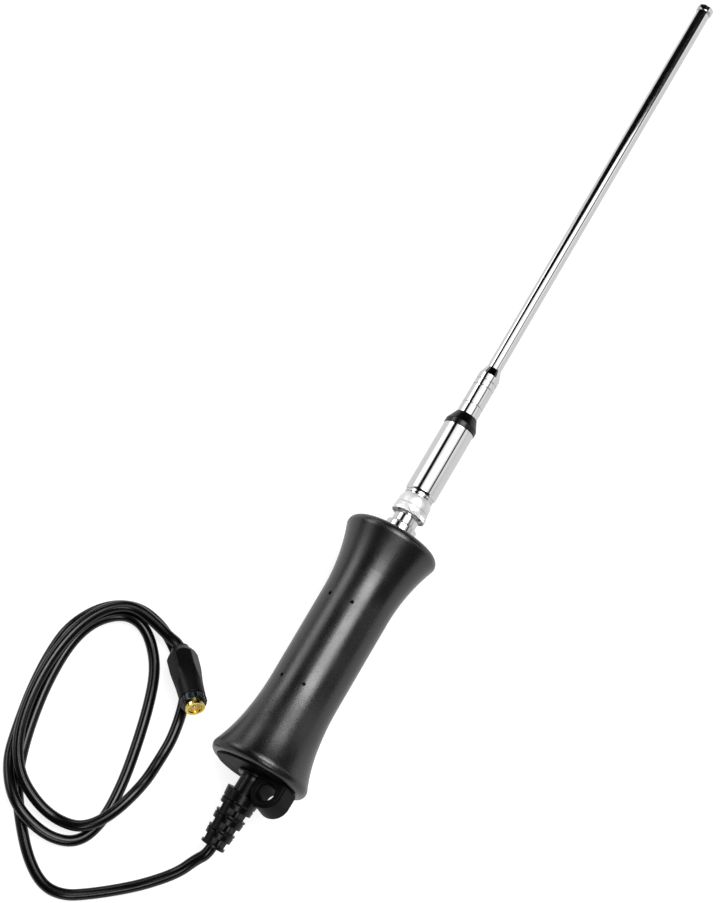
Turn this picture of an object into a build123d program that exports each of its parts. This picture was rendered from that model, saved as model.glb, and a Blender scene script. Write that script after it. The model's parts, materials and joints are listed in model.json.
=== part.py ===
"""Hand-held long-range whip antenna with a coax lead.

The grip lies on its side along +X with the whip's tip at the +X end, and the lead is looped on
the +Y side. Millimetres. Most pieces are drawn about the antenna's axis, with Z = 0 at the grip's
base plane, and are laid down at the end. The origin is the middle of the bottom of the box that
the object fills without its lead.
"""
from build123d import *
import os
from math import asin, atan, cos, pi, radians, sin, sqrt, tan

os.makedirs("parts", exist_ok=True)

# ---- driving dimensions: fits ---------------------------------------------------------------
seat_gap = 0.05        # radial gap of a piece that sits fixed in another
run_gap = 0.08         # radial gap of a shaft or tube that turns or slides in another
clear_gap = 0.3        # gap between pieces that move past each other without guiding
face_gap = 0.1         # axial gap between faces that pass or meet in use
over = 1.0             # how far a cut runs past the face it opens

# ---- grip ------------------------------------------------------------------------------------
grip_length = 119.6
grip_waist_r = 15.85
base_waist_z = 41.0    # where the straight waist ends and the base flare starts
base_knee_z = 21.0     # where the base flare steepens
base_knee_out = 1.65   # growth in radius from the waist to the knee
base_rim_out = 8.5     # growth in radius from the waist to the base plane, before rounding
base_edge_round = 3.2
top_waist_drop = 35.0  # the same flare at the top, measured down from the top plane
top_knee_drop = 21.3
top_knee_out = 1.05
top_rim_out = 7.3
top_edge_round = 3.4
pin_hole_r = 0.85      # marks of the pins that held the core in the mould
pin_hole_angle = 21.2  # to each side of the grip's face
pin_hole_low_z = 40.4
pin_hole_high_z = 81.5
face_roll = 20.0       # the grip's face looks this far from straight up, towards the lead

# ---- grip core and end cap -------------------------------------------------------------------
core_r = 11.5
core_wall = 2.6
core_head = 10.2       # thickness of the head that carries the jack
top_skin = 1.6         # moulded skin over the core's shoulder
boss_r = 6.9
boss_height = 0.1      # above the grip's top plane
cap_r = 18.6
cap_thickness = 3.3
cap_proud = 0.9        # how far the cap stands out of the base plane
cap_gap = 0.4          # visible gap around the cap
cap_edge = 0.6
spigot_length = 8.0
spigot_wall = 1.8
eye_r = 7.1
eye_hole_r = 3.7
eye_thickness = 13.4
eye_out = 6.6          # eye centre beyond the base plane
eye_side = 12.1        # eye centre from the antenna's axis
eye_rise = 1.0         # and from the plane through the axis, towards the grip's face
eye_round = 1.3
eye_lean = 2.0         # the eye's hole leans this far from square to the grip

# ---- strain relief ---------------------------------------------------------------------------
relief_flange_r = 7.5
relief_flange_t = 1.3
relief_flange_edge = 0.4
relief_neck_r = 5.3
relief_knee = 3.0      # from the base plane to the bend
relief_droop = 15.0
relief_yaw = 3.5
relief_length = 32.0   # from the bend to the end
relief_block_start = 6.3
relief_root_r = 8.0
relief_end_r = 5.45
relief_pitch = 7.0
relief_rows = 3
thin_slot = 0.8
thin_slot_start = 10.6
wide_slot = 3.0
wide_slot_start = 13.8
bridge_width = 4.0
wide_bridge_angle = -62.0  # angle of the bridge across the wide slots

# ---- lead ------------------------------------------------------------------------------------
lead_d = 4.9
crimp_ring_r = 3.2
crimp_ring_length = 5.0

# ---- BNC jack and bayonet --------------------------------------------------------------------
jack_flange_r = 7.15
jack_flange_t = 6.3        # its lower part is hidden behind the grip's rim
jack_flange_round = 0.6
jack_waist_r = 5.6         # thicker part between the flange and the nut
jack_waist_length = 4.5
jack_barrel_r = 4.83
jack_length = 12.0
jack_bore_r = 4.08
jack_bore_depth = 8.6
jack_thread_r = 4.7
jack_thread_spare = 1.3
jack_core_r = 2.9
jack_nut_t = 2.6
jack_nut_flats = 12.5
jack_washer_r = 6.9
jack_washer_t = 0.6
jack_nose_r = 2.4
jack_nose_short = 1.2      # insulator nose below the jack's front
jack_contact_r = 1.1
jack_contact_short = 0.8   # contact below the insulator's nose
pin_r = 0.67
pin_depth = 5.6
lug_r = 1.0
lug_reach = 5.49
lug_back = 4.0             # lug centre behind the jack's front
entry_angle = 150.0        # one of the nut's two entry channels, about the axis
lock_turn = 85.0
nut_r = 7.35
nut_rim_out = 0.25         # the rim at the mouth stands this far outside the body
nut_back = 6.0             # nut's mouth behind the jack's front
nut_length = 8.1
nut_rim = 2.6
nut_groove = 0.4
nut_groove_depth = 0.3
nut_band = 1.6
nut_shoulder_in = 1.0      # how much smaller the nut is at its top edge
nut_lip = 0.9
nut_wall = 1.0
nut_entry = 0.9            # depth of the chamfer inside the mouth

# ---- antenna base ----------------------------------------------------------------------------
neck_length = 2.0
neck_r = 6.0
neck_ring_r = 6.6
neck_ring_t = 0.55
base_r = 7.2
base_wall = 0.8
base_length = 34.6
base_chamfer = 0.8
sleeve_wall = 0.45
plug_insert = 8.5
plug_core_r = 1.2
former_r = 4.6
coil_thickness = 0.8
coil_length = 18.0
collar_band = 2.4
collar_cone = 4.9
collar_out = 0.25          # collar stands this far outside the base tube
collar_spigot = 4.0
collar_wall = 1.2

# ---- whip ------------------------------------------------------------------------------------
ferrule_r = 4.95
ferrule_straight = 20.9
ferrule_cone = 3.9
ferrule_lip_r = 3.55
ferrule_shank_r = 4.2
ferrule_grooves = (5.1, 14.6, 17.7)
ferrule_groove_w = 0.8
ferrule_groove_d = 0.4
whip_r = 3.3
whip_wall = 0.25
whip_step = 0.5
whip_sections = 6
whip_exposed = 201.4       # outer tube above the ferrule
whip_seat = 21.0           # outer tube inside the ferrule
whip_inside = 194.0        # length of section 2 inside the outer tube
whip_stagger = 1.5         # how much less of each thinner section is inside
crimp_length = 1.4
sleeve_length = 12.0
sleeve_start = 1.0
tip_r = 3.85
tip_length = 3.2
tip_round = 0.6
tip_seat = 0.3

# ---- lead plug -------------------------------------------------------------------------------
plug_rear = (34.36, 58.1, 9.8)         # from the base plane, the axis and the table
plug_aim = (-0.6817, -0.6591, 0.3175)  # the way its gold end points
plug_face = (0.3196, 0.1221, 0.9397)    # the way one of its flats looks
plug_rear_r = 3.9
plug_rear_flat = 0.6
plug_shoulder = 5.2
plug_flats = 12.0
plug_corner_r = 6.8
plug_blend_start = 12.0
plug_blend_mid = 19.5
plug_nose_r = 5.75
plug_body_length = 26.3
plug_ring_r = 5.5
plug_ring_length = 3.5
plug_bumps = 16
plug_bump_r = 0.5
gold_r = 4.3
gold_wall = 1.1
gold_proud = 2.2
gold_inside = 3.0
shell_r = 2.9
shell_wall = 0.6
shell_slot = 0.6
shell_slot_length = 2.5
shell_set_back = 0.5
shell_root = 12.0
insulator_short = 1.6
centre_pin_r = 0.5
crimp_r = 3.1
crimp_start = 1.0

# ---- worked-out places -----------------------------------------------------------------------
boss_top = grip_length + boss_height
core_ceiling = boss_top - core_head
jack_front = boss_top + jack_length + jack_flange_t
lug_z = jack_front - lug_back
nut_mouth = jack_front - nut_back
nut_top = nut_mouth + nut_length
base_bottom = nut_top + neck_length
base_top = base_bottom + base_length
collar_top = base_top + collar_band + collar_cone
ferrule_shoulder = collar_top + ferrule_straight
ferrule_top = ferrule_shoulder + ferrule_cone
whip_top = ferrule_top + whip_exposed
tip_top = whip_top + tip_seat + tip_length
lead_r = lead_d / 2
core_bore_r = core_r - core_wall
cap_inner = cap_thickness - cap_proud          # cap's inner face, inside the base plane
eye_end = eye_out + eye_r
mid_x = (tip_top - eye_end) / 2                # middle of the object along its axis


# ---- helpers ---------------------------------------------------------------------------------
def disc(r, z0, z1):
    """A cylinder about Z from z0 to z1."""
    return Pos(0, 0, z0) * Cylinder(r, z1 - z0, align=(Align.CENTER, Align.CENTER, Align.MIN))


def tube(r_out, r_in, z0, z1):
    return disc(r_out, z0, z1) - disc(r_in, z0 - 1, z1 + 1)


def turned(*points):
    """A solid of revolution from (radius, height) points, closed on the axis."""
    line = Polyline(*[(r, 0, z) for r, z in points], close=True)
    return revolve(make_face(line), Axis.Z)


def hexagon_prism(flats, z0, z1):
    return Pos(0, 0, z0) * extrude(RegularPolygon(flats / 2, 6, major_radius=False), z1 - z0)


def save(shape, name):
    shape = shape.clean() if hasattr(shape, "clean") else shape
    export_step(shape, f"parts/{name}.step")


# ---- grip ------------------------------------------------------------------------------------
def grip_outline():
    """Half of the grip's hourglass, as a face in the XZ plane."""
    top = grip_length
    waist_low = (grip_waist_r, 0, base_waist_z)
    waist_high = (grip_waist_r, 0, top - top_waist_drop)
    knee_low = (grip_waist_r + base_knee_out, 0, base_knee_z)
    knee_high = (grip_waist_r + top_knee_out, 0, top - top_knee_drop)
    rim_low = (grip_waist_r + base_rim_out, 0, 0)
    rim_high = (grip_waist_r + top_rim_out, 0, top)
    waist = Line(waist_low, waist_high)
    flare_low = TangentArc(waist_low, knee_low, tangent=(0, 0, -1))
    skirt_low = TangentArc(knee_low, rim_low, tangent=flare_low % 1)
    flare_high = TangentArc(waist_high, knee_high, tangent=(0, 0, 1))
    skirt_high = TangentArc(knee_high, rim_high, tangent=flare_high % 1)
    closing = Polyline(rim_high, (0, 0, top), (0, 0, 0), rim_low)
    return make_face([waist, flare_low, skirt_low, flare_high, skirt_high, closing])


def grip_solid():
    body = revolve(grip_outline(), Axis.Z)
    body = fillet(body.edges().filter_by(GeomType.CIRCLE).sort_by(Axis.Z)[0], base_edge_round)
    return fillet(body.edges().filter_by(GeomType.CIRCLE).sort_by(Axis.Z)[-1], top_edge_round)


def grip_shell():
    shell = grip_solid()
    shell -= disc(cap_r + cap_gap, -1, cap_inner + seat_gap)
    shell -= disc(core_r + seat_gap, cap_inner, grip_length - top_skin + seat_gap)
    shell -= disc(boss_r + seat_gap, 0, grip_length + 1)
    for z in (pin_hole_low_z, pin_hole_high_z):
        for side in (-1, 1):
            shell -= (Pos(0, 0, z) * Rot(0, 0, side * pin_hole_angle) * Rot(-90, 0, 0)
                      * disc(pin_hole_r, core_r - 1, grip_waist_r + base_rim_out))
    return shell


def grip_core():
    core = disc(core_r, cap_inner + 2 * seat_gap, grip_length - top_skin) + disc(boss_r, 0, boss_top)
    core -= disc(core_bore_r, -1, core_ceiling)
    return core - disc(jack_thread_r + seat_gap, 0, boss_top + 1)


# ---- end cap with its lanyard eye ------------------------------------------------------------
def leaned(shape):
    """Put a piece of the eye in place, with its hole leaning."""
    return Pos(-eye_side, eye_rise, -eye_out) * Rot(eye_lean, 0, 0) * Pos(eye_side, 0, eye_out) * shape


def eye_block(grow):
    """The eye before its hole is cut, larger all round by grow."""
    r = eye_r + grow
    outline = Pos(-eye_side, -eye_out) * Circle(r)
    outline += Pos(-eye_side, -(eye_out + cap_proud) / 2) * Rectangle(2 * r, eye_out - cap_proud)
    return extrude(Plane.XZ * outline, eye_thickness / 2 + grow, both=True)


def end_cap(lead_bore):
    cap = disc(cap_r, -cap_proud, cap_inner)
    cap = chamfer(cap.edges().filter_by(GeomType.CIRCLE).sort_by(Axis.Z)[0], cap_edge)
    cap += tube(core_bore_r - seat_gap, core_bore_r - seat_gap - spigot_wall, cap_inner - 1,
                cap_inner + spigot_length)
    eye = eye_block(0) - Pos(-eye_side, 0, -eye_out) * Rot(90, 0, 0) * disc(eye_hole_r, -cap_r, cap_r)
    long_edges = [e for e in eye.edges().filter_by(GeomType.CIRCLE)]
    eye = fillet(long_edges, eye_round)
    stem = Pos(-eye_side, eye_rise, -cap_proud) * Box(2 * eye_r - 2 * eye_round, eye_thickness - 2 * eye_round,
                                               cap_thickness)
    cap += leaned(eye) - disc(2 * cap_r, -cap_proud, cap_r)
    cap += stem & disc(cap_r - cap_edge, -cap_thickness, cap_inner)
    return cap - lead_bore


# ---- strain relief and the lead inside -------------------------------------------------------
def relief_axis():
    """Root, bend and end of the strain relief, about the antenna's axis."""
    down = Vector(sin(radians(face_roll)), -cos(radians(face_roll)), 0)
    side = Vector(cos(radians(face_roll)), sin(radians(face_roll)), 0)
    droop, yaw = radians(relief_droop), radians(relief_yaw)
    way = Vector(0, 0, -1) * (cos(droop) * cos(yaw)) + side * (cos(droop) * sin(yaw)) + down * sin(droop)
    root = Vector(0, 0, 0)
    bend = root - Vector(0, 0, relief_knee)
    return root, bend, bend + way * relief_length, way


def swept_rod(points, bend_r, r):
    """A round rod along straight runs joined by arcs of radius bend_r."""
    path = FilletPolyline(*points, radius=bend_r)
    start = Plane(origin=path @ 0, z_dir=path % 0)
    return sweep(start * Circle(r), path=path)


def relief_lead(r):
    """The lead from the relief's end, through the relief and the end cap."""
    root, bend, end, way = relief_axis()
    inside = Vector(0, 0, cap_inner)
    return swept_rod([end, bend, inside], 2.4 * lead_d, r)


def strain_relief(lead_bore):
    root, bend, end, way = relief_axis()
    frame = Plane(origin=bend, z_dir=way, x_dir=(cos(radians(face_roll)), sin(radians(face_roll)), 0))
    grow = (relief_root_r - relief_end_r) / (relief_length - relief_block_start)
    body = turned((0, relief_block_start), (relief_root_r, relief_block_start),
                  (relief_end_r, relief_length), (0, relief_length))
    body += disc(relief_neck_r, 0, relief_block_start + 1)
    for row in range(relief_rows):
        for start, width, angle in ((thin_slot_start, thin_slot, wide_bridge_angle + 90),
                                    (wide_slot_start, wide_slot, wide_bridge_angle)):
            z0 = start + row * relief_pitch
            slot = disc(relief_root_r + over, z0, z0 + width)
            bridge = Pos(0, 0, z0 + width / 2) * Rot(0, 0, angle) * Box(4 * relief_root_r, bridge_width, width)
            body -= slot - bridge
    body = frame.location * body
    body += Pos(*bend) * Sphere(relief_neck_r)
    body += disc(relief_neck_r, -relief_knee, -cap_proud)
    body -= disc(grip_waist_r, -cap_proud, grip_length)
    flange = disc(relief_flange_r, -cap_proud - relief_flange_t, -cap_proud)
    body += chamfer(flange.edges().filter_by(GeomType.CIRCLE).sort_by(Axis.Z)[0], relief_flange_edge)
    body -= leaned(eye_block(clear_gap))
    return body - lead_bore


def inner_lead():
    """The lead from the end cap up to the jack."""
    return disc(lead_r, cap_inner, jack_rear())


def lead_crimp():
    """The crimped ring that stops the lead from pulling out of the end cap."""
    return tube(crimp_ring_r, lead_r + seat_gap, cap_inner, cap_inner + crimp_ring_length)


# ---- jack ------------------------------------------------------------------------------------
def jack_rear():
    return core_ceiling - jack_washer_t - jack_nut_t - jack_thread_spare


def jack_body():
    body = disc(jack_thread_r, jack_rear(), boss_top)
    flange_top = boss_top + jack_flange_t
    waist_top = flange_top + jack_waist_length
    flange = disc(jack_flange_r, boss_top, flange_top)
    body += fillet(flange.edges().filter_by(GeomType.CIRCLE).sort_by(Axis.Z)[-1], jack_flange_round)
    body += turned((0, flange_top - 1), (jack_waist_r + jack_flange_round, flange_top - 1),
                   (jack_waist_r + jack_flange_round, flange_top), (jack_waist_r, flange_top + jack_flange_round),
                   (jack_waist_r, waist_top - jack_flange_round), (jack_barrel_r, waist_top), (0, waist_top))
    body += disc(jack_barrel_r, boss_top, jack_front)
    for angle in (0, 180):
        body += (Rot(0, 0, entry_angle + lock_turn + angle) * Pos(0, 0, lug_z) * Rot(0, 90, 0)
                 * disc(lug_r, jack_barrel_r - 0.4, lug_reach))
    body -= disc(jack_bore_r, jack_front - jack_bore_depth, jack_front + 1)
    return body - disc(jack_core_r, jack_rear() + 1.2, jack_front) - disc(lead_r / 2, 0, jack_front)


def jack_washer():
    return tube(jack_washer_r, jack_thread_r + seat_gap, core_ceiling - jack_washer_t, core_ceiling)


def jack_nut():
    top = core_ceiling - jack_washer_t
    nut = hexagon_prism(jack_nut_flats, top - jack_nut_t, top)
    return nut - disc(jack_thread_r + seat_gap, top - jack_nut_t - 1, top + 1)


def jack_insulator():
    step = jack_front - jack_bore_depth
    body = disc(jack_core_r - seat_gap, jack_rear() + 1.2, step)
    body += disc(jack_nose_r, step - 1, jack_front - jack_nose_short)
    return body - disc(jack_contact_r + seat_gap, 0, jack_front + 1)


def jack_contact():
    top = jack_front - jack_nose_short - jack_contact_short
    body = disc(jack_contact_r, jack_rear() + 1.2, top)
    body += disc(lead_r / 2 - seat_gap, jack_rear(), jack_rear() + 1.2)
    return body - disc(pin_r + run_gap, top - pin_depth - face_gap, top + 1)


# ---- bayonet nut -----------------------------------------------------------------------------
def bayonet_nut():
    rim_top = nut_mouth + nut_rim
    band_low = rim_top + nut_groove
    band_top = band_low + nut_band
    groove_r = nut_r - nut_groove_depth
    rim_edge = 0.4
    rim_r = nut_r + nut_rim_out
    profile = Polyline((0, 0, nut_mouth), (rim_r - rim_edge, 0, nut_mouth), (rim_r, 0, nut_mouth + rim_edge),
                       (rim_r, 0, rim_top), (groove_r, 0, rim_top), (groove_r, 0, band_low),
                       (nut_r, 0, band_low), (nut_r, 0, band_top))
    shoulder = TangentArc((nut_r, 0, band_top), (nut_r - nut_shoulder_in, 0, nut_top), tangent=(0, 0, 1))
    closing = Polyline((nut_r - nut_shoulder_in, 0, nut_top), (0, 0, nut_top), (0, 0, nut_mouth))
    body = revolve(make_face([profile, shoulder, closing]), Axis.Z)
    body -= disc(jack_barrel_r + clear_gap, nut_mouth - 1, nut_top)
    body -= disc(flange_room_r(), jack_front - clear_gap, nut_top - nut_lip)
    body -= disc(plug_lip_r() + clear_gap, nut_mouth, nut_top + 1)
    bore_r = jack_barrel_r + clear_gap
    body -= turned((0, nut_mouth - over), (bore_r + nut_entry + over, nut_mouth - over),
                   (bore_r, nut_mouth + nut_entry), (0, nut_mouth + nut_entry))
    half = lug_r + clear_gap
    track_r = lug_reach + clear_gap
    for turn in (0, 180):
        track = disc(track_r, lug_z - half, lug_z + half) & sector(entry_angle + turn, lock_turn)
        track += (Rot(0, 0, entry_angle + turn) * Pos(track_r / 2, 0, (nut_mouth + lug_z) / 2 - over)
                  * Box(track_r, 2 * half, lug_z - nut_mouth + 2 * over))
        for end in (0, lock_turn):
            track += Rot(0, 0, entry_angle + turn + end) * Pos(0, 0, lug_z) * Rot(0, 90, 0) * disc(half, 0, track_r)
        body -= track
    return body


def sector(start, sweep_angle):
    """A tall wedge about the axis that spans sweep_angle from start."""
    big = 20.0
    return Rot(0, 0, start) * Pos(0, 0, lug_z - big) * Cylinder(
        big, 2 * big, arc_size=sweep_angle, align=(Align.CENTER, Align.CENTER, Align.MIN))


def flange_room_r():
    """Inner radius of the nut's chamber, which the plug's flange turns in."""
    return nut_r - nut_wall


def plug_lip_r():
    """Radius of the plug's neck where the nut's lip holds it."""
    return neck_r - clear_gap - 0.3


# ---- antenna base ----------------------------------------------------------------------------
def bnc_plug_shell():
    """Turned body: contact sleeve, flange in the nut, neck, and the seat of the base tube."""
    sleeve_r = jack_bore_r - run_gap
    sleeve_low = jack_front - jack_bore_depth + 1.6
    flange_low = jack_front + face_gap
    flange_top = nut_top - nut_lip - face_gap
    ring_low = nut_top + (neck_length - neck_ring_t) / 2
    body = disc(sleeve_r, sleeve_low, nut_top)
    body += disc(flange_room_r() - clear_gap, flange_low + 0.9, flange_top)
    body += disc(plug_lip_r(), flange_low + 0.9, nut_top + face_gap)
    body += disc(neck_r, nut_top + face_gap, base_bottom)
    body += disc(neck_ring_r, ring_low, ring_low + neck_ring_t)
    body += disc(base_r - base_wall - seat_gap, base_bottom, base_bottom + plug_insert)
    body -= disc(sleeve_r - sleeve_wall, sleeve_low - 1, base_bottom + plug_insert - 1.5)
    return body - disc(plug_core_r + seat_gap, 0, base_top)


def bnc_gasket():
    """Silicone ring that seals the jack's front face."""
    low = jack_front + face_gap
    return tube(jack_barrel_r, jack_bore_r - run_gap + seat_gap, low, low + 0.9 - seat_gap)


def bnc_plug_insulator():
    r = jack_bore_r - run_gap - sleeve_wall - seat_gap
    low = jack_front - jack_nose_short + 0.5
    return tube(r, plug_core_r + seat_gap, low, base_bottom + plug_insert - 1.5)


def bnc_plug_pin():
    tip = jack_front - jack_nose_short - jack_contact_short - pin_depth
    step = jack_front - jack_nose_short + 0.5
    body = turned((0, tip), (pin_r * 0.5, tip), (pin_r, tip + 0.8), (pin_r, step), (plug_core_r, step),
                  (plug_core_r, base_bottom + plug_insert + 1), (0, base_bottom + plug_insert + 1))
    return body


def base_tube():
    body = tube(base_r, base_r - base_wall, base_bottom, base_top)
    low = body.edges().filter_by(GeomType.CIRCLE).sort_by(Axis.Z)[:2].sort_by(SortBy.RADIUS)[-1]
    return chamfer(low, base_chamfer * 0.9)


def former_low():
    return base_bottom + plug_insert + seat_gap


def former_top():
    return base_top - collar_spigot - seat_gap


def coil_former():
    low, top = former_low(), former_top()
    flange_r = base_r - base_wall - seat_gap
    body = disc(former_r, low, top)
    body += disc(flange_r, low, low + 1.2) + disc(flange_r, top - 1.2, top)
    return body - disc(plug_core_r + seat_gap, low - 1, low + 1 + seat_gap)


def loading_coil():
    middle = (former_low() + former_top()) / 2
    return tube(former_r + seat_gap + coil_thickness, former_r + seat_gap, middle - coil_length / 2,
                middle + coil_length / 2)


def base_collar():
    out = base_r + collar_out
    body = turned((0, base_top), (out - 0.2, base_top), (out, base_top + 0.3), (out, base_top + collar_band),
                  (ferrule_r + 0.15, collar_top), (0, collar_top))
    body += disc(base_r - base_wall - seat_gap, base_top - collar_spigot, base_top)
    return body - disc(ferrule_shank_r + seat_gap, base_top - collar_spigot - 1, collar_top + 1)


def whip_ferrule():
    body = disc(ferrule_r, collar_top, ferrule_shoulder)
    body += turned((0, ferrule_shoulder), (ferrule_r, ferrule_shoulder), (ferrule_lip_r, ferrule_top),
                   (0, ferrule_top))
    body += disc(ferrule_shank_r, base_top - collar_spigot, collar_top)
    for height in ferrule_grooves:
        z = collar_top + height
        body -= tube(ferrule_r + 1, ferrule_r - ferrule_groove_d, z - ferrule_groove_w / 2,
                     z + ferrule_groove_w / 2)
    return body - disc(whip_r + seat_gap / 2, ferrule_top - whip_seat, ferrule_top + 1)


# ---- whip ------------------------------------------------------------------------------------
def section_r(n):
    """Outer radius of section n, the first being the outer tube."""
    return whip_r - (n - 1) * whip_step


def section_bottom(n):
    low = whip_top - seat_gap - whip_inside
    return ferrule_top - whip_seat if n == 1 else low + (n - 2) * whip_stagger


def whip_tube(n):
    r = section_r(n)
    top = whip_top if n == 1 else whip_top - seat_gap
    low = section_bottom(n)
    if n == whip_sections:
        return disc(r, low, whip_top + tip_seat)
    body = disc(r, low, top) - disc(r - whip_wall, low - 1, top - crimp_length)
    return body - disc(section_r(n + 1) + run_gap, low - 1, top + 1)


def contact_sleeve(n):
    """Spring sleeve at the foot of section n, which slides in section n - 1."""
    low = section_bottom(n) + sleeve_start
    outer = section_r(n - 1) - whip_wall - run_gap
    return tube(outer, section_r(n) + seat_gap / 5, low, low + sleeve_length)


def tip_cap():
    low = whip_top + tip_seat
    cap = fillet(disc(tip_r, low, low + tip_length).edges().filter_by(GeomType.CIRCLE), tip_round)
    return cap


# ---- lead plug -------------------------------------------------------------------------------
def plug_plane():
    return Plane(origin=(plug_rear[0] - mid_x, plug_rear[1], plug_rear[2]), x_dir=plug_face, z_dir=plug_aim)


def plug_front():
    return plug_body_length + plug_ring_length


def plug_body():
    """Moulded grip: six flats that run out into a round nose."""
    blank = turned((0, 0), (plug_rear_r, 0), (plug_rear_r, plug_rear_flat), (plug_corner_r, plug_shoulder),
                   (plug_corner_r, plug_blend_start), (plug_flats / 2, plug_blend_mid),
                   (plug_nose_r, plug_body_length), (0, plug_body_length))
    bar = extrude(RegularPolygon(plug_flats / 2, 6, major_radius=False, rotation=30), plug_body_length)
    body = blank & bar
    body -= disc(crimp_r + seat_gap, crimp_start, shell_root)
    body -= disc(shell_r + seat_gap, shell_root, plug_body_length + 1)
    return body - disc(gold_r + clear_gap, plug_body_length - gold_inside, plug_body_length + 1)


def plug_crimp():
    return disc(crimp_r, crimp_start, shell_root - seat_gap)


def coupling_ring():
    """Knurled ring that the fingers turn."""
    low, top = plug_body_length + face_gap, plug_front()
    ring = tube(plug_ring_r, gold_r, low, top)
    for k in range(plug_bumps):
        ring += (Rot(0, 0, k * 360 / plug_bumps) * Pos(plug_ring_r - 0.1, 0, (low + top) / 2)
                 * Cylinder(plug_bump_r, (top - low) * 0.6))
    return ring - disc(gold_r, low - 1, top + 1)


def coupling_nut():
    low = plug_body_length - gold_inside + face_gap
    return tube(gold_r, gold_r - gold_wall, low, plug_front() + gold_proud)


def contact_shell():
    top = plug_front() + gold_proud - shell_set_back
    body = tube(shell_r, shell_r - shell_wall, shell_root, top)
    for angle in (0, 90):
        body -= Rot(0, 0, angle) * Pos(0, 0, top) * Box(3 * shell_r, shell_slot, 2 * shell_slot_length)
    return body


def plug_insulator():
    top = plug_front() + gold_proud - insulator_short
    return tube(shell_r - shell_wall - seat_gap, centre_pin_r + seat_gap, shell_root, top)


def plug_pin():
    top = plug_front() + gold_proud - shell_set_back - 0.5
    tip = centre_pin_r * 0.5
    return turned((0, shell_root), (centre_pin_r, shell_root), (centre_pin_r, top - tip), (tip, top), (0, top))


# ---- the lead's route ------------------------------------------------------------------------
# Points from the base plane (x), the antenna's axis (y) and the table (z). The first two come from
# the strain relief and the last two from the plug.
route = (
    (-41.7, 5.7, 9.8), (-49.3, 9.8, 6.2), (-59.2, 18.7, 5.0), (-66.7, 27.6, 2.9), (-75.2, 38.6, 2.5),
    (-80.9, 47.5, 2.7), (-81.6, 57.3, 2.5), (-74.9, 68.4, 2.5), (-63.1, 79.5, 2.5),
    (-49.5, 89.9, 2.5), (-36.5, 95.0, 2.5), (-21.6, 98.9, 2.7), (-3.7, 101.7, 3.2),
    (14.9, 102.2, 2.5), (28.1, 98.1, 3.5), (36.9, 89.1, 3.8), (37.6, 80.0, 4.1), (32.8, 72.0, 2.5),
    (22.8, 63.9, 2.5), (8.4, 58.4, 3.0), (-9.8, 53.8, 2.5), (-27.7, 50.3, 2.5), (-45.3, 49.2, 2.5),
    (-58.1, 53.3, 2.5), (-62.8, 63.8, 4.0), (-61.4, 76.8, 7.9), (-55.7, 87.9, 9.2),
    (-43.1, 98.1, 4.5), (-28.9, 102.1, 3.3), (-10.9, 105.8, 2.8), (6.8, 107.4, 2.6),
    (22.0, 106.3, 2.5), (36.5, 98.0, 2.5), (43.6, 85.3, 2.5), (41.1, 71.3, 2.5), (34.0, 60.1, 2.7),
    (22.6, 47.4, 3.0), (2.4, 42.0, 2.5), (-12.4, 42.0, 2.5), (-25.2, 41.7, 7.8), (-42.5, 46.6, 7.9),
    (-53.1, 54.4, 7.4), (-55.1, 65.8, 5.5), (-53.1, 77.1, 7.4), (-46.2, 89.9, 8.6),
    (-33.3, 98.8, 8.6), (-15.2, 103.7, 8.0), (4.5, 104.9, 7.6), (21.5, 102.3, 7.9), (33.3, 96.5, 8.3),
    (39.6, 89.4, 8.5), (41.2, 82.4, 8.2), (39.7, 74.2, 7.8), (37.1, 65.1, 7.7),
)
exit_run = 4.0
plug_run = 2.4


def lead_points():
    end, way = laid_relief_end()
    aim = Vector(*plug_aim).normalized()
    rear = Vector(plug_rear[0] - mid_x, plug_rear[1], plug_rear[2])
    middle = [Vector(x - mid_x, y, z) for x, y, z in route]
    return [end, end + way * exit_run] + middle + [rear - aim * plug_run, rear]


def bend_radii(points):
    """The largest arcs that the runs leave room for."""
    radii = []
    for a, b, c in zip(points, points[1:], points[2:]):
        turn = radians((b - a).get_angle(c - b))
        radii.append(0.45 * min((b - a).length, (c - b).length) / tan(turn / 2))
    return radii


def lead():
    points = lead_points()
    radii = bend_radii(points)
    path = FilletPolyline(*points, radius=radii)
    rod = sweep(Plane(origin=path @ 0, z_dir=path % 0) * Circle(lead_r), path=path)
    print("lead: length %.1f, radii %s" % (path.length, " ".join("%.0f" % r for r in radii)))
    print("lead: volume %.0f, section times length %.0f" % (rod.volume, pi * lead_r ** 2 * path.length))
    return rod


# ---- laying down and writing -----------------------------------------------------------------
axis_height = grip_solid().bounding_box().max.X
laid = Plane(origin=(-mid_x, 0, axis_height), z_dir=(1, 0, 0),
             x_dir=(0, cos(radians(face_roll)), -sin(radians(face_roll))))


def laid_relief_end():
    root, bend, end, way = relief_axis()
    return laid.from_local_coords(end), laid.from_local_coords(end + way) - laid.from_local_coords(end)


def save_laid(shape, name):
    save(laid.location * shape, name)


def save_plug(shape, name):
    save(plug_plane().location * shape, name)


def report():
    eye = laid.from_local_coords(Vector(-eye_side, eye_rise, -eye_out))
    tilt = radians(eye_lean)
    eye_axis = laid.from_local_coords(Vector(-eye_side, eye_rise + cos(tilt), sin(tilt) - eye_out)) - eye
    print("lanyard eye at %s along %s, %.1f long" % (eye, eye_axis, eye_thickness - 2 * eye_round))
    mouth = plug_plane().from_local_coords(Vector(0, 0, plug_front() + gold_proud))
    print("plug's gold end at %s along %s" % (mouth, plug_plane().z_dir))
    sleeve_end = sleeve_start + sleeve_length
    for n in range(2, whip_sections + 1):
        travel = whip_top - crimp_length - face_gap - section_bottom(n) - sleeve_end
        print("section %d slides %.1f" % (n, travel))
    print("mid_x %.3f axis_height %.3f" % (mid_x, axis_height))


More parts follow.
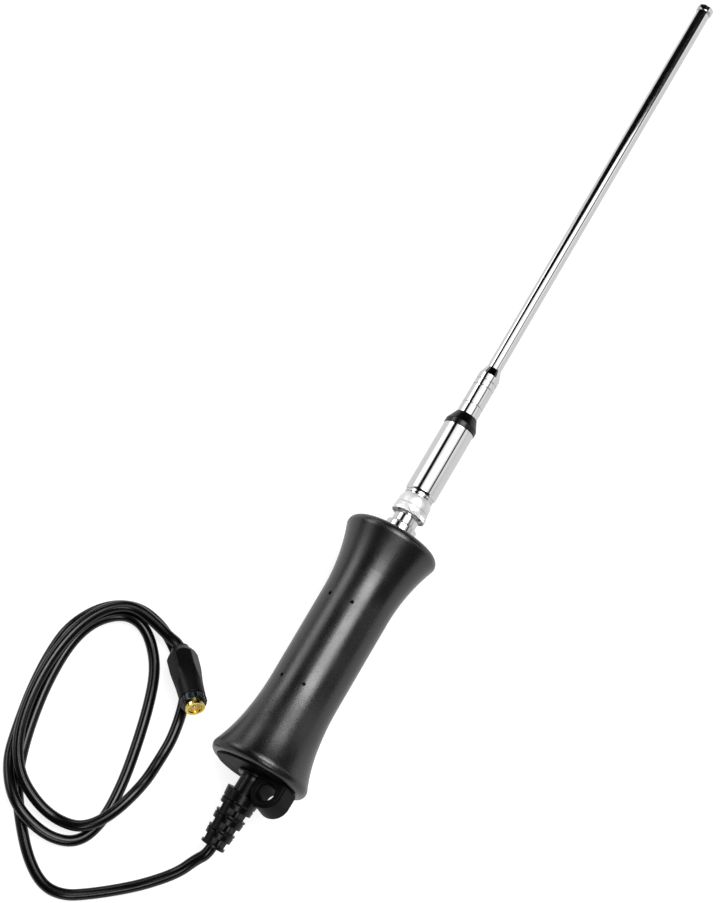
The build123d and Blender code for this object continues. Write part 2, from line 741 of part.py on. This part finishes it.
report()
lead_bore = relief_lead(lead_r + seat_gap)
save_laid(grip_shell(), "grip_shell")
save_laid(grip_core(), "grip_core")
save_laid(end_cap(lead_bore), "end_cap")
save_laid(strain_relief(lead_bore), "strain_relief")
save_laid(relief_lead(lead_r), "relief_lead")
save_laid(inner_lead(), "inner_lead")
save_laid(lead_crimp(), "lead_crimp")
save_laid(jack_body(), "jack_body")
save_laid(jack_washer(), "jack_washer")
save_laid(jack_nut(), "jack_nut")
save_laid(jack_insulator(), "jack_insulator")
save_laid(jack_contact(), "jack_contact")
save_laid(bayonet_nut(), "bayonet_nut")
save_laid(bnc_plug_shell(), "bnc_plug_shell")
save_laid(bnc_gasket(), "bnc_gasket")
save_laid(bnc_plug_insulator(), "bnc_plug_insulator")
save_laid(bnc_plug_pin(), "bnc_plug_pin")
save_laid(base_tube(), "base_tube")
save_laid(coil_former(), "coil_former")
save_laid(loading_coil(), "loading_coil")
save_laid(base_collar(), "base_collar")
save_laid(whip_ferrule(), "whip_ferrule")
for n in range(1, whip_sections + 1):
    save_laid(whip_tube(n), f"whip_section_{n}")
for n in range(2, whip_sections + 1):
    save_laid(contact_sleeve(n), f"contact_sleeve_{n}")
save_laid(tip_cap(), "tip_cap")
save_plug(plug_body(), "plug_body")
save_plug(plug_crimp(), "plug_crimp")
save_plug(coupling_ring(), "coupling_ring")
save_plug(coupling_nut(), "coupling_nut")
save_plug(contact_shell(), "contact_shell")
save_plug(plug_insulator(), "plug_insulator")
save_plug(plug_pin(), "plug_pin")
save(lead(), "lead")
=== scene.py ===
import json
import math

import bpy
from mathutils import Matrix, Vector


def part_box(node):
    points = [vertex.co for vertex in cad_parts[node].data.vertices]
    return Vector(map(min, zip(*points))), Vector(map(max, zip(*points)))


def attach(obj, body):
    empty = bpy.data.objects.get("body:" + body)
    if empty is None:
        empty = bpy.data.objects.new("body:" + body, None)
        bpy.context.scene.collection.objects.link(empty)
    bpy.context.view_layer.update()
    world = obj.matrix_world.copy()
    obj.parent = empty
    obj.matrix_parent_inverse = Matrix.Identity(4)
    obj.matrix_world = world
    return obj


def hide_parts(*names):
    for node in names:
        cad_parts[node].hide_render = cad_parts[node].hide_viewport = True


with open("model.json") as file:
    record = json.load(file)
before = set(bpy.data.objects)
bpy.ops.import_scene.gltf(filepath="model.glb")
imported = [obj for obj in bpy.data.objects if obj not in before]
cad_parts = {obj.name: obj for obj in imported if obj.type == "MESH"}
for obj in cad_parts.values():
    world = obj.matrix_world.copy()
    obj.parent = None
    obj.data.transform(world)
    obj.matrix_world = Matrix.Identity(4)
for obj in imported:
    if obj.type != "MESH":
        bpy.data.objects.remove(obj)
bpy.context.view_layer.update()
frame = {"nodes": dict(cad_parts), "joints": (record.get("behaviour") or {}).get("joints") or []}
nodes = frame["nodes"]

# Camera: above the grip and behind it, with the antenna running up to the right.
right = Vector((0.490574, -0.871393, 0.003461))
up = Vector((0.820462, 0.463232, 0.33505))
camera_place = (-0.436217, -0.178201, 1.25215)
camera_data = bpy.data.cameras.new("camera")
camera_data.lens = 119.4
camera = bpy.data.objects.new("camera", camera_data)
camera.matrix_world = (Matrix.Translation(camera_place)
                       @ Matrix((right, up, right.cross(up))).transposed().to_4x4())
bpy.context.scene.collection.objects.link(camera)
bpy.context.scene.camera = camera
bpy.context.scene.view_settings.view_transform = "Standard"


# Studio: a dim dome with a pale band across it, over a white floor. A long soft box above the
# antenna, a narrower one beside it and a small one behind the grip draw the sheen on the rubber. A
# dark wall beyond the tip and a thin dark slit beside it are the dark streaks in the chrome.
def add(tree, kind, **inputs):
    """A node, with i0, i1... for its inputs and other names for its settings."""
    node = tree.nodes.new(kind)
    for name, value in inputs.items():
        if not (name[0] == "i" and name[1:].isdigit()):
            setattr(node, name, value)
        elif isinstance(value, bpy.types.NodeSocket):
            tree.links.new(value, node.inputs[int(name[1:])])
        else:
            node.inputs[int(name[1:])].default_value = value
    return node


def reckon(tree, kind, *values):
    """The values put together by one kind of sum, such as ADD or MULTIPLY, from left to right."""
    out = values[0]
    for value in values[1:]:
        out = add(tree, "ShaderNodeMath", operation=kind, i0=out, i1=value).outputs[0]
    return out


def ramp(tree, factor, *stops):
    """Greys along a factor, or colours where a stop holds one."""
    node = add(tree, "ShaderNodeValToRGB", i0=factor)
    bar = node.color_ramp.elements
    bar.remove(bar[1])
    for k, (place, tone) in enumerate(stops):
        stop = bar[0] if k == 0 else bar.new(place)
        stop.position = place
        stop.color = (*tone, 1) if isinstance(tone, tuple) else (tone, tone, tone, 1)
    return node.outputs[0]


def past(tree, value, edge, soft):
    """0 below the edge and 1 above it, where the edge may itself vary over the dome."""
    over = reckon(tree, "SUBTRACT", value, edge)
    return add(tree, "ShaderNodeMapRange", interpolation_type="SMOOTHSTEP", i0=over, i1=-soft,
               i2=soft).outputs[0]


def strip(tree, value, low, high, soft):
    """1 between the two edges and 0 outside them."""
    within = reckon(tree, "SUBTRACT", 1.0, past(tree, value, high, soft))
    return reckon(tree, "MULTIPLY", past(tree, value, low, soft), within)


dome_level = 0.08
band_level = 1.12
key_level = 10.0
side_level = 3.2
back_level = 4.5
wall_dark = 0.998             # share of the light that the dark wall takes away
slit_share = 0.96             # how dark the slit is beside the wall

# Places on the dome. Along runs from -1 towards -X to 1 towards +X, and tipward is the same from 0
# to 1. A turn about the antenna's axis is 0.25 towards -Y, 0.5 straight up and 0.75 towards +Y.
band_along = (0.275, 0.54)
key_turn = (0.417, 0.508)
side_turn = (0.640, 0.70)
back_turn = (0.415, 0.475)
back_along = (-0.78, -0.50)
slit_start = 0.22
tip_wall_end = 0.508          # the slit and the dark wall beyond the tip end here
far_wall = 0.78               # and the wall starts again here

world = bpy.data.worlds.new("dome")
bpy.context.scene.world = world
world.use_nodes = True
tree = world.node_tree
way = add(tree, "ShaderNodeSeparateXYZ", i0=add(tree, "ShaderNodeTexCoord").outputs["Generated"])
along = way.outputs[0]
about = reckon(tree, "ARCTAN2", way.outputs[1], way.outputs[2])
turn = add(tree, "ShaderNodeMath", operation="MULTIPLY_ADD", i0=about, i1=0.5 / math.pi, i2=0.5).outputs[0]
tipward = add(tree, "ShaderNodeMath", operation="MULTIPLY_ADD", i0=along, i1=0.5, i2=0.5).outputs[0]
pale = ramp(tree, turn, (0.0, 0.5), (0.17, 0.5), (0.25, 0.6), (0.30, 0.75), (0.33, 0.86), (0.36, 0.92),
            (0.42, 1.0), (0.70, 1.0), (0.74, 0.8), (0.78, 0.5), (1.0, 0.5))
band = reckon(tree, "MULTIPLY", strip(tree, along, *band_along, soft=0.03), pale)
key = reckon(tree, "MULTIPLY", strip(tree, turn, *key_turn, soft=0.012),
             ramp(tree, tipward, (0.29, 0.0), (0.33, 0.07), (0.41, 0.15), (0.49, 0.40), (0.53, 0.90),
                  (0.58, 1.0), (0.635, 1.0), (0.655, 0.10), (0.752, 0.10), (0.765, 0.70), (0.79, 0.55),
                  (0.83, 0.20), (0.89, 0.10), (0.93, 0.0)))
side = reckon(tree, "MULTIPLY", strip(tree, turn, *side_turn, soft=0.01),
              ramp(tree, tipward, (0.30, 0.0), (0.34, 0.25), (0.42, 0.5), (0.55, 1.0), (0.70, 0.9),
                   (0.86, 0.6), (0.92, 0.0)))
back = reckon(tree, "MULTIPLY", strip(tree, turn, *back_turn, soft=0.01),
              strip(tree, along, *back_along, soft=0.02))
# Edges of the wall and of the slit, as turns that change along the dome.
wall_low = ramp(tree, along, (0.297, 0.546), (0.312, 0.555), (0.328, 0.561), (0.348, 0.574), (0.384, 0.546),
                (0.412, 0.532), (0.436, 0.362), (0.50, 0.362), (0.70, 0.335))
wall_high = ramp(tree, along, (0.297, 0.605), (0.312, 0.614), (0.328, 0.640), (0.348, 0.662), (0.384, 0.696),
                 (0.415, 0.755), (0.438, 0.79), (0.456, 0.80))
wall_gap = reckon(tree, "SUBTRACT", past(tree, along, tip_wall_end, soft=0.01),
                  past(tree, along, far_wall, soft=0.02))
wall = reckon(tree, "MULTIPLY", strip(tree, turn, wall_low, wall_high, soft=0.010),
              reckon(tree, "SUBTRACT", 1.0, wall_gap))
slit_low = ramp(tree, along, (0.297, 0.343), (0.328, 0.351), (0.348, 0.363), (0.384, 0.365), (0.415, 0.369))
slit_high = ramp(tree, along, (0.297, 0.373), (0.328, 0.381), (0.348, 0.393), (0.384, 0.409), (0.415, 0.419))
slit = reckon(tree, "MULTIPLY", strip(tree, turn, slit_low, slit_high, soft=0.006),
              strip(tree, along, slit_start, tip_wall_end, soft=0.01), slit_share)
dark = reckon(tree, "MAXIMUM", wall, slit)
light = reckon(tree, "ADD", dome_level, reckon(tree, "MULTIPLY", band, band_level - dome_level),
               reckon(tree, "MULTIPLY", key, key_level), reckon(tree, "MULTIPLY", side, side_level),
               reckon(tree, "MULTIPLY", back, back_level))
undimmed = add(tree, "ShaderNodeMath", operation="MULTIPLY_ADD", i0=dark, i1=-wall_dark,
               i2=1.0).outputs[0]
background = tree.nodes["Background"]
background.inputs[0].default_value = (1, 1, 1, 1)
tree.links.new(reckon(tree, "MULTIPLY", light, undimmed), background.inputs[1])

floor_width = 60.0
fibre_scale = 3000.0
paper_dark, paper_light = 0.39, 0.41
seen_glow = 0.80              # the floor's own light to the camera
mirrored_glow = 0.38          # and to what mirrors it
bpy.ops.mesh.primitive_plane_add(size=floor_width)
floor = bpy.context.object
floor.name = "floor"
paper = bpy.data.materials.new("paper")
paper.use_nodes = True
tree = paper.node_tree
sheet = tree.nodes["Principled BSDF"]
fibre = add(tree, "ShaderNodeTexNoise", i2=fibre_scale).outputs[0]
tree.links.new(ramp(tree, fibre, (0.0, paper_dark), (1.0, paper_light)), sheet.inputs["Base Color"])
sheet.inputs["Roughness"].default_value = 1.0
sheet.inputs["Specular IOR Level"].default_value = 0.0
sheet.inputs["Emission Color"].default_value = (1, 1, 1, 1)
ray = add(tree, "ShaderNodeLightPath").outputs
mirrored = reckon(tree, "MAXIMUM", ray["Is Glossy Ray"], ray["Is Transmission Ray"])
glow = reckon(tree, "ADD", reckon(tree, "MULTIPLY", ray["Is Camera Ray"], seen_glow),
              reckon(tree, "MULTIPLY", mirrored, mirrored_glow))
tree.links.new(glow, sheet.inputs["Emission Strength"])
floor.data.materials.append(paper)


# Grip: a soft black rubber sleeve moulded over the core, waisted for the hand and flared at both
# ends. The rubber has the mould's fine spark grain, rubbed smoother in soft patches.
cloud_scale = 60.0            # clouds of colour some 17 mm across
noise_low, noise_high = 0.3, 0.7                 # most of a noise lies between these
worn_low, worn_high = 0.35, 0.65                 # and wear is at its least and most outside these


def finish(name, low, high, rough, metal=0.0, shine=0.5, grain=900.0, bump=0.0, edge=0.0, wear=0.12):
    """Colour clouds between low and high, fine roughness, grain height and softened edges."""
    material = bpy.data.materials.new(name)
    material.use_nodes = True
    tree = material.node_tree
    shader = tree.nodes["Principled BSDF"]
    spot = add(tree, "ShaderNodeTexCoord").outputs["Object"]
    cloud = add(tree, "ShaderNodeTexNoise", i0=spot, i2=cloud_scale, i3=4.0).outputs[0]
    fine = add(tree, "ShaderNodeTexNoise", i0=spot, i2=grain, i3=3.0).outputs[0]
    tree.links.new(ramp(tree, cloud, (noise_low, low), (noise_high, high)), shader.inputs["Base Color"])
    rubbed = add(tree, "ShaderNodeMapRange", i0=cloud, i1=worn_low, i2=worn_high, i3=1 - wear,
                 i4=1 + wear).outputs[0]
    speck = add(tree, "ShaderNodeMapRange", i0=fine, i1=noise_low, i2=noise_high, i3=rough * 0.9,
                i4=rough * 1.1).outputs[0]
    tree.links.new(reckon(tree, "MULTIPLY", rubbed, speck), shader.inputs["Roughness"])
    shader.inputs["Metallic"].default_value = metal
    shader.inputs["Specular IOR Level"].default_value = shine
    height = add(tree, "ShaderNodeBump", i0=1.0, i1=bump)
    tree.links.new(fine, height.inputs["Height"])
    if edge:
        tree.links.new(add(tree, "ShaderNodeBevel", samples=4, i0=edge).outputs[0], height.inputs["Normal"])
    tree.links.new(height.outputs[0], shader.inputs["Normal"])
    return material


def shade_smooth(piece, crease):
    """Round shading, with a sharp edge where faces meet at more than crease degrees."""
    for face in piece.data.polygons:
        face.use_smooth = True
    split = piece.modifiers.new("creases", "EDGE_SPLIT")
    split.split_angle = math.radians(crease)


def dress(material, *names):
    """Give each named node this material and round shading."""
    for name in names:
        nodes[name].data.materials.clear()
        nodes[name].data.materials.append(material)
        shade_smooth(nodes[name], crease=32)


grip_rubber = finish("grip_rubber", (0.0022, 0.0022, 0.0023), (0.0034, 0.0034, 0.0035), rough=0.27,
                     shine=0.8, grain=2600.0, bump=0.00004)
dress(grip_rubber, "grip_shell")

# Pin marks: four small holes in the grip's face, left by the pins that held the core in the mould.
# The rubber stands up a little round each one, as a smooth moulded lip.
def node_tree(name, **sizes):
    """An empty Geometry Nodes tree with one named number input for each size."""
    tree = bpy.data.node_groups.new(name, "GeometryNodeTree")
    sockets = {}
    for size, value in sizes.items():
        kind = "NodeSocketInt" if isinstance(value, int) else "NodeSocketFloat"
        sockets[size] = tree.interface.new_socket(name=size, in_out="INPUT", socket_type=kind).identifier
    tree.interface.new_socket(name="Geometry", in_out="OUTPUT", socket_type="NodeSocketGeometry")
    given = tree.nodes.new("NodeGroupInput").outputs
    return tree, {size: given[size] for size in sizes}, sockets


def grown(name, tree, geometry, sockets, sizes, material, place, body):
    """Close the tree, run it with these sizes and keep its result as a plain mesh on the body."""
    whole = add(tree, "GeometryNodeRealizeInstances", i0=geometry).outputs[0]
    dressed = add(tree, "GeometryNodeSetMaterial", i0=whole, i2=material).outputs[0]
    add(tree, "NodeGroupOutput", i0=dressed)
    seed = bpy.data.objects.new(name + "_seed", bpy.data.meshes.new(name + "_seed"))
    bpy.context.scene.collection.objects.link(seed)
    growth = seed.modifiers.new("growth", "NODES")
    growth.node_group = tree
    for size, value in sizes.items():
        growth[sockets[size]] = value
    shape = bpy.data.meshes.new_from_object(seed.evaluated_get(bpy.context.evaluated_depsgraph_get()))
    bpy.data.objects.remove(seed)
    shape.transform(place)
    shape.name = name
    piece = bpy.data.objects.new(name, shape)
    bpy.context.scene.collection.objects.link(piece)
    shade_smooth(piece, crease=40)
    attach(piece, body)
    return piece


grip_low, grip_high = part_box("grip_shell")
face_roll = math.radians(20.0)                   # the grip's face looks this far from straight up
axis_height = (grip_low[2] + grip_high[2]) / 2
cos_roll, sin_roll = math.cos(face_roll), math.sin(face_roll)
turned_down = Matrix(((0, 0, 1, 0), (cos_roll, sin_roll, 0, 0), (-sin_roll, cos_roll, 0, axis_height),
                      (0, 0, 0, 1)))


def up_axis(x):
    """Place what is drawn about Z from 0 upwards on the antenna's axis, from x towards the tip."""
    return Matrix.Translation((x, 0, 0)) @ turned_down


ring_steps, bead_steps = 32, 10
mark = {"Radius": 0.00105, "Lip": 0.00014, "Waist": 0.01584, "Low": 0.0404, "Step": 0.0411,
        "Spread": math.radians(21.2)}
tree, given, sockets = node_tree("pin_marks", **mark)
ring = add(tree, "GeometryNodeCurvePrimitiveCircle", i0=ring_steps, i4=given["Radius"]).outputs[0]
bead = add(tree, "GeometryNodeCurvePrimitiveCircle", i0=bead_steps, i4=given["Lip"]).outputs[0]
lip = add(tree, "GeometryNodeCurveToMesh", i0=ring, i1=bead).outputs[0]
out = add(tree, "ShaderNodeCombineXYZ", i1=given["Waist"], i2=given["Low"]).outputs[0]
first = add(tree, "GeometryNodeTransform", i0=lip, i2=out, i3=(math.pi / 2, 0, 0)).outputs[0]
step = add(tree, "ShaderNodeCombineXYZ", i2=given["Step"]).outputs[0]
pair = add(tree, "GeometryNodeJoinGeometry", i0=first)
tree.links.new(add(tree, "GeometryNodeTransform", i0=first, i2=step).outputs[0], pair.inputs[0])
marks = tree.nodes.new("GeometryNodeJoinGeometry")
for hand in (-1.0, 1.0):
    spread = reckon(tree, "MULTIPLY", given["Spread"], hand)
    about_axis = add(tree, "ShaderNodeCombineXYZ", i2=spread).outputs[0]
    turned_pair = add(tree, "GeometryNodeTransform", i0=pair.outputs[0], i3=about_axis).outputs[0]
    tree.links.new(turned_pair, marks.inputs[0])
grown("pin_marks", tree, marks.outputs[0], sockets, mark, grip_rubber, up_axis(grip_low[0]), "grip")

# Grip core: the stiff plastic tube inside the sleeve, whose head carries the jack. It shows as a
# thin ring round the jack's foot.
core_plastic = finish("core_plastic", (0.03, 0.03, 0.033), (0.045, 0.045, 0.05), rough=0.45,
                      bump=0.00001)
dress(core_plastic, "grip_core")

# End cap: the moulded plug that closes the grip's base, in one piece with a thick round eye for a
# wrist strap. Its rubber is duller than the sleeve's and has hardly any grain.
black_rubber = finish("black_rubber", (0.0012, 0.0012, 0.0013), (0.0024, 0.0024, 0.0025), rough=0.45,
                      shine=0.06, grain=1800.0, bump=0.000012, edge=0.0006)
dress(black_rubber, "end_cap")

# Strain relief: a tapered rubber boot, cut across by slots. Each slot leaves two bridges, a quarter
# turn on from those of the last, so that the boot bends with the lead, whose jacket shows through.
relief_rubber = finish("relief_rubber", (0.0012, 0.0012, 0.0013), (0.0024, 0.0024, 0.0025), rough=0.24,
                       shine=0.28, grain=1800.0, bump=0.00001, edge=0.0009)
dress(relief_rubber, "strain_relief")
jacket = finish("lead_jacket", (0.0010, 0.0010, 0.0011), (0.0018, 0.0018, 0.0019), rough=0.20,
                shine=0.36, grain=700.0, bump=0.000006)
dress(jacket, "relief_lead", "inner_lead")

# Crimp: a nickel-plated ring pressed on the lead inside the grip, against the end cap. It is wider
# than the cap's hole, so that the lead can't be pulled out.
nickel = finish("nickel", (0.70, 0.69, 0.67), (0.75, 0.74, 0.72), rough=0.14, metal=1.0, bump=0.000002,
                edge=0.0002)
dress(nickel, "lead_crimp")

# Jack: the turned and chromed coaxial socket on the grip, held in the core by a washer and a nut,
# with its white insulator and gilded contact.
chrome = finish("chrome", (0.735, 0.735, 0.74), (0.75, 0.75, 0.755), rough=0.055, metal=1.0,
                bump=0.0000006, wear=0.05)
dress(chrome, "jack_body")
dress(nickel, "jack_washer", "jack_nut")
white_insulator = finish("ptfe", (0.80, 0.80, 0.78), (0.84, 0.84, 0.82), rough=0.4, bump=0.000005)
dress(white_insulator, "jack_insulator")
gold = finish("gold", (0.95, 0.70, 0.15), (0.99, 0.77, 0.21), rough=0.13, metal=1.0, bump=0.000003,
              edge=0.0002)
dress(gold, "jack_contact")

# Bayonet nut: a chromed ring that turns on the antenna's plug and locks over the jack's two lugs.
# Straight knurls are rolled into its rim and its band for the fingers.
knurled = finish("knurled_chrome", (0.93, 0.93, 0.93), (0.96, 0.96, 0.96), rough=0.55, metal=1.0,
                 bump=0.000008, grain=3000.0, edge=0.0004)
dress(knurled, "bayonet_nut")
nut_low, nut_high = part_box("bayonet_nut")
nut_r = (nut_high[1] - nut_low[1]) / 2
rib_sides = 4
rib_sunk = 0.00006            # how deep a rib's middle lies in the nut
# Each knurl's name, where it starts, how long it is and how far its ground lies under the rim's.
knurls = (("rim_knurl", 0.0004, 0.0018, 0.0), ("band_knurl", 0.0031, 0.0013, 0.00025))
for name, start, length, inset in knurls:
    knurl = {"Ribs": 66, "Radius": nut_r - inset - rib_sunk, "Start": start, "Length": length,
             "Width": 0.00026}
    tree, given, sockets = node_tree(name, **knurl)
    round_nut = add(tree, "GeometryNodeMeshCircle", i0=given["Ribs"], i1=given["Radius"]).outputs[0]
    rib = add(tree, "GeometryNodeMeshCylinder", i0=rib_sides, i1=1, i2=1, i3=given["Width"],
              i4=given["Length"]).outputs[0]
    middle = reckon(tree, "ADD", given["Start"], reckon(tree, "MULTIPLY", given["Length"], 0.5))
    seat = add(tree, "ShaderNodeCombineXYZ", i2=middle).outputs[0]
    rib = add(tree, "GeometryNodeTransform", i0=rib, i2=seat).outputs[0]
    turned = reckon(tree, "DIVIDE", tree.nodes.new("GeometryNodeInputIndex").outputs[0], given["Ribs"])
    turned = add(tree, "ShaderNodeCombineXYZ", i2=reckon(tree, "MULTIPLY", turned, 2 * math.pi)).outputs[0]
    ribs = add(tree, "GeometryNodeInstanceOnPoints", i0=round_nut, i2=rib, i5=turned).outputs[0]
    grown(name, tree, ribs, sockets, knurl, knurled, up_axis(nut_low[0]), "bayonet")

# Antenna's plug: the turned body that the nut holds against the jack, with its gasket, insulator
# and pin.
dress(chrome, "bnc_plug_shell")
dress(white_insulator, "bnc_plug_insulator")
silicone = finish("silicone", (0.40, 0.08, 0.05), (0.50, 0.12, 0.07), rough=0.5, bump=0.000004)
dress(silicone, "bnc_gasket")
dress(gold, "bnc_plug_pin")

# Base tube: a chromed brass tube over the loading coil. It is pressed on the plug's seat at one
# end, and the plastic collar's foot is pushed into the other.
dress(chrome, "base_tube")


# Loading coil: enamelled copper wire wound on a plastic former, turn beside turn. It lies in the
# base tube and makes up for the whip's short length.
steps_a_turn = 32
wire_sides = 8


def winding(name, sizes, material, place, body):
    """A round wire wound about Z at a steady pitch."""
    tree, given, sockets = node_tree(name, **sizes)
    rise = reckon(tree, "MULTIPLY", given["Turns"], given["Pitch"])
    helix = add(tree, "GeometryNodeCurveSpiral", i0=steps_a_turn, i1=given["Turns"],
                i2=given["Radius"], i3=given["Radius"], i4=rise).outputs[0]
    wire = add(tree, "GeometryNodeCurvePrimitiveCircle", i0=wire_sides, i4=given["Wire"]).outputs[0]
    coil = add(tree, "GeometryNodeCurveToMesh", i0=helix, i1=wire)
    coil.inputs["Fill Caps"].default_value = True
    return grown(name, tree, coil.outputs[0], sockets, sizes, material, place, body)


dress(core_plastic, "coil_former")
copper_wire = finish("copper_wire", (0.52, 0.20, 0.08), (0.62, 0.26, 0.11), rough=0.25, metal=1.0,
                     bump=0.000003)
coil_low, coil_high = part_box("loading_coil")
wire_r = 0.00039
coil_pitch = 0.0009
coil = {"Turns": (coil_high[0] - coil_low[0] - 2 * wire_r) / coil_pitch, "Pitch": coil_pitch,
        "Wire": wire_r, "Radius": (coil_high[1] - coil_low[1]) / 2 - wire_r}
wound = winding("coil_winding", coil, copper_wire, up_axis(coil_low[0] + wire_r), "antenna")
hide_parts("loading_coil")

# Collar and ferrule: a black plastic collar caps the base tube and insulates it, and a chromed
# ferrule with three turned grooves carries the whip.
black_plastic = finish("black_plastic", (0.0015, 0.0015, 0.0016), (0.0026, 0.0026, 0.0027), rough=0.22,
                       shine=0.42, bump=0.000006, edge=0.0004)
dress(black_plastic, "base_collar")
dress(chrome, "whip_ferrule")

# Whip: six chromed brass tubes, the last a rod, that slide in each other on spring sleeves and are
# crimped at their ends. A button closes the tip.
dress(chrome, *[f"whip_section_{n}" for n in range(1, 7)], "tip_cap")
dress(nickel, *[f"contact_sleeve_{n}" for n in range(2, 7)])

# Lead: a limp coaxial cable with a smooth black jacket, from the strain relief round two loose
# loops to its plug. Where strands cross, one rests on the other.
lead_points = (                                  # in millimetres
    (-233.85, 1.89, 14.27), (-237.71, 2.12, 13.23), (-241.7, 5.7, 9.8), (-249.3, 9.8, 6.2),
    (-259.2, 18.7, 5.0), (-266.7, 27.6, 2.9), (-275.2, 38.6, 2.5), (-280.9, 47.5, 2.7),
    (-281.6, 57.3, 2.5), (-274.9, 68.4, 2.5), (-263.1, 79.5, 2.5), (-249.5, 89.9, 2.5),
    (-236.5, 95.0, 2.5), (-221.6, 98.9, 2.7), (-203.7, 101.7, 3.2), (-185.1, 102.2, 2.5),
    (-171.9, 98.1, 3.5), (-163.1, 89.1, 3.8), (-162.4, 80.0, 4.1), (-167.2, 72.0, 2.5),
    (-177.2, 63.9, 2.5), (-191.6, 58.4, 3.0), (-209.8, 53.8, 2.5), (-227.7, 50.3, 2.5),
    (-245.3, 49.2, 2.5), (-258.1, 53.3, 2.5), (-262.8, 63.8, 4.0), (-261.4, 76.8, 7.9),
    (-255.7, 87.9, 9.2), (-243.1, 98.1, 4.5), (-228.9, 102.1, 3.3), (-210.9, 105.8, 2.8),
    (-193.2, 107.4, 2.6), (-178.0, 106.3, 2.5), (-163.5, 98.0, 2.5), (-156.4, 85.3, 2.5),
    (-158.9, 71.3, 2.5), (-166.0, 60.1, 2.7), (-177.4, 47.4, 3.0), (-197.6, 42.0, 2.5),
    (-212.4, 42.0, 2.5), (-225.2, 41.7, 7.8), (-242.5, 46.6, 7.9), (-253.1, 54.4, 7.4),
    (-255.1, 65.8, 5.5), (-253.1, 77.1, 7.4), (-246.2, 89.9, 8.6), (-233.3, 98.8, 8.6),
    (-215.2, 103.7, 8.0), (-195.5, 104.9, 7.6), (-178.5, 102.3, 7.9), (-166.7, 96.5, 8.3),
    (-160.4, 89.4, 8.5), (-158.8, 82.4, 8.2), (-160.3, 74.2, 7.8), (-162.9, 65.1, 7.7),
    (-164.01, 59.68, 9.04), (-165.64, 58.10, 9.80),
)
lead_r = 0.00245
curve = bpy.data.curves.new("lead_cable", "CURVE")
curve.dimensions = "3D"
curve.bevel_depth = lead_r
curve.bevel_resolution = 7
curve.resolution_u = 10
spline = curve.splines.new("NURBS")
spline.points.add(len(lead_points) - 1)
for point, (x, y, z) in zip(spline.points, lead_points):
    point.co = (x / 1000, y / 1000, z / 1000, 1)
spline.order_u = 3
spline.use_endpoint_u = True
lead = bpy.data.objects.new("lead_cable", curve)
bpy.context.scene.collection.objects.link(lead)
lead.data.materials.append(jacket)
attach(lead, "grip")
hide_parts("lead")

# Lead's plug: a moulded rubber grip over a crimped coaxial plug, with six flats that run out into a
# round nose.
plug_rubber = finish("plug_rubber", (0.0018, 0.0018, 0.0019), (0.0030, 0.0030, 0.0031), rough=0.30,
                     shine=0.18, grain=1800.0, bump=0.00001, edge=0.0008)
dress(plug_rubber, "plug_body")
dress(nickel, "plug_crimp")

# Coupling: a dark lacquered ring with finger bumps, pressed on the gilded nut whose thread draws the
# plug on. The nut turns round the slotted contact shell.
dark_metal = finish("dark_metal", (0.0020, 0.0040, 0.0065), (0.0030, 0.0055, 0.0085), rough=0.14,
                    bump=0.000002, edge=0.0003)
dress(dark_metal, "coupling_ring")
dress(gold, "coupling_nut", "contact_shell", "plug_pin")
amber_insulator = finish("amber_insulator", (0.78, 0.62, 0.36), (0.84, 0.68, 0.42), rough=0.35,
                         bump=0.000004)
dress(amber_insulator, "plug_insulator")
turning = next(joint for joint in frame["joints"] if joint["name"] == "coupling_turn")
plug_way = Vector(turning["axis"]).normalized()
nut_foot = Vector(turning["pos_m"])
nut_end = max(corner.co.dot(plug_way) for corner in nodes["coupling_nut"].data.vertices)
nut_mouth = nut_foot + plug_way * (nut_end - nut_foot.dot(plug_way))
thread = {"Turns": 4.0, "Pitch": 0.0005, "Wire": 0.00016, "Radius": 0.00318}
thread_place = (Matrix.Translation(nut_mouth - plug_way * thread["Turns"] * thread["Pitch"])
                @ plug_way.to_track_quat("Z", "Y").to_matrix().to_4x4())
winding("coupling_thread", thread, gold, thread_place, "coupling")
